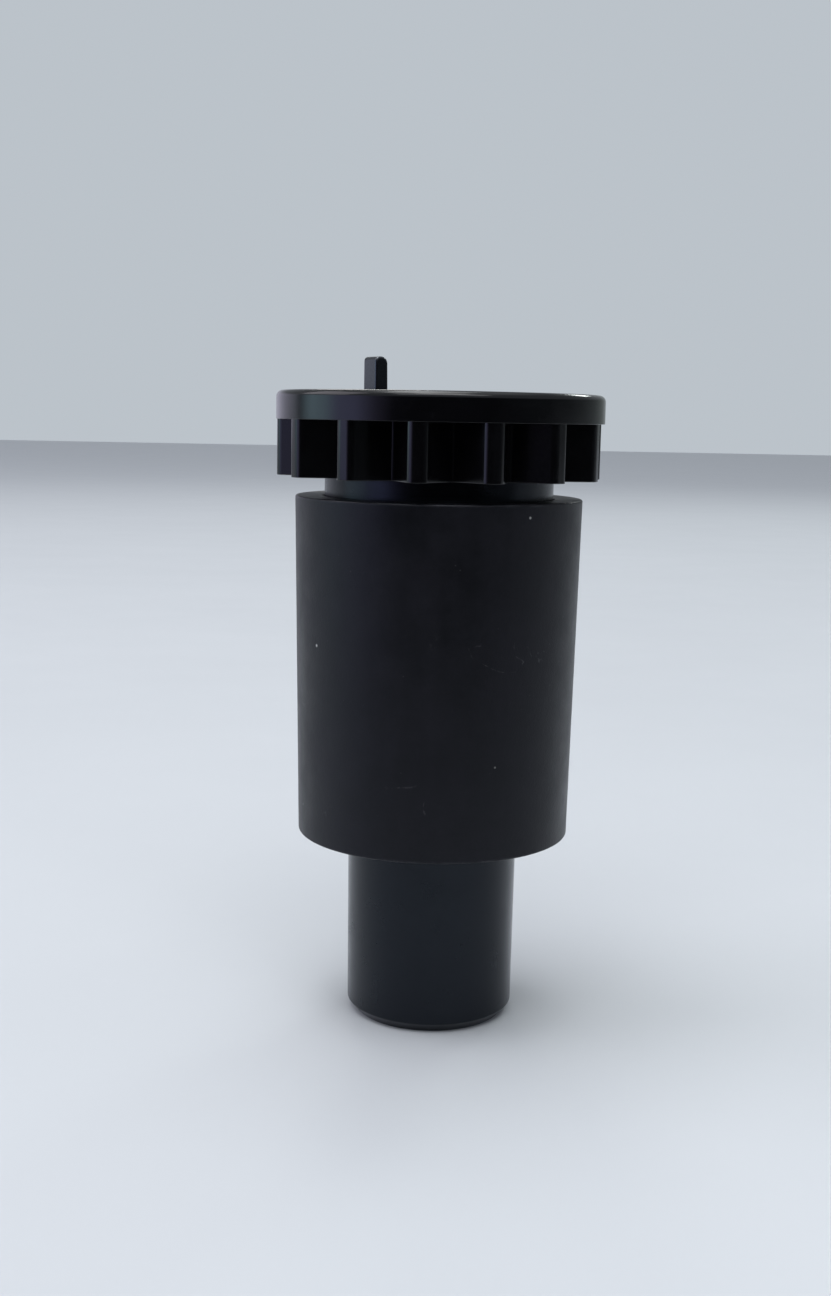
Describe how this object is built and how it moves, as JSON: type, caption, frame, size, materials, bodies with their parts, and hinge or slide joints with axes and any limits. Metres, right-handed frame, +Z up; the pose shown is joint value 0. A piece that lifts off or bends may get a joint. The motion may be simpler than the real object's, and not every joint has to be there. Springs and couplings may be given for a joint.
{
  "type": "pop up sprinkler",
  "caption": "Spring-returned pop-up irrigation sprinkler: threaded-inlet case in a matte sleeve, ribbed screw cap, and a riser with pull tab and adjustable spray nozzle.",
  "frame": {"origin": "centre of the inlet spigot's end face, on the surface the sprinkler stands on", "axes": "+Z up along the riser's axis; -Y faces the side the picture was taken from; +X is to its right"},
  "size_m": [0.057, 0.057, 0.1167],
  "materials": {
    "satin_plastic": "satin moulded black",
    "matte_sleeve": "matte charcoal, faint scuffs",
    "gloss_cap": "smooth glossy black",
    "inner_plastic": "plain moulded black",
    "rubber": "matte black rubber",
    "spring_steel": "bright drawn wire",
    "screen_plastic": "pale moulded mesh"
  },
  "bodies": {
    "case": {"case": "satin_plastic", "outer_sleeve": "matte_sleeve", "valve_cage": "inner_plastic", "valve_spring": "spring_steel"},
    "check_valve": {"valve_poppet": "inner_plastic", "valve_seal": "rubber"},
    "spring_seat": {"spring_seat": "inner_plastic", "cap_gasket": "rubber", "riser_spring": "spring_steel"},
    "cap": {"cap": "gloss_cap", "wiper_seal": "rubber"},
    "guide_ring": {"guide_ring": "inner_plastic"},
    "riser": {"riser_stem": "inner_plastic", "riser_seal": "rubber", "riser_head": "satin_plastic", "pull_tab": "satin_plastic", "nozzle_body": "inner_plastic", "deflector": "satin_plastic", "filter_frame": "inner_plastic", "filter_screen": "screen_plastic"},
    "arc_collar": {"arc_collar": "satin_plastic"},
    "radius_screw": {"radius_screw": "spring_steel"},
    "throttle_plug": {"throttle_plug": "inner_plastic"}
  },
  "joints": [
    {"name": "cap_lift", "type": "slide", "parent": "case", "child": "spring_seat", "axis": [0, 0, 1], "range_m": [0, 0.006]},
    {"name": "cap_turn", "type": "hinge", "parent": "spring_seat", "child": "cap", "pos_m": [0, 0, 0.106], "axis": [0, 0, 1], "range_deg": [0, 720]},
    {"name": "riser_pop", "type": "slide", "parent": "spring_seat", "child": "guide_ring", "axis": [0, 0, 1], "range_m": [0, 0.045], "stiffness_N_per_m": 250, "springref_m": -0.05, "deforming": ["riser_spring"]},
    {"name": "riser_turn", "type": "hinge", "parent": "guide_ring", "child": "riser", "pos_m": [0, 0, 0.046], "axis": [0, 0, 1], "continuous": true},
    {"name": "arc_turn", "type": "hinge", "parent": "riser", "child": "arc_collar", "pos_m": [0, 0, 0.1095], "axis": [0, 0, 1], "range_deg": [0, 340]},
    {"name": "radius_screw_turn", "type": "hinge", "parent": "riser", "child": "radius_screw", "pos_m": [0, 0, 0.105], "axis": [0, 0, 1], "range_deg": [-900, 0]},
    {"name": "throttle_lift", "type": "slide", "parent": "riser", "child": "throttle_plug", "axis": [0, 0, 1], "range_m": [0, 0.0025]},
    {"name": "check_valve_lift", "type": "slide", "parent": "case", "child": "check_valve", "axis": [0, 0, 1], "range_m": [0, 0.004], "stiffness_N_per_m": 150, "springref_m": -0.02, "deforming": ["valve_spring"]}
  ],
  "couplings": [
    {"joint": "cap_turn", "follows": "cap_lift", "rad_per_m": 2094.4},
    {"joint": "radius_screw_turn", "follows": "throttle_lift", "rad_per_m": -6283.2}
  ]
}
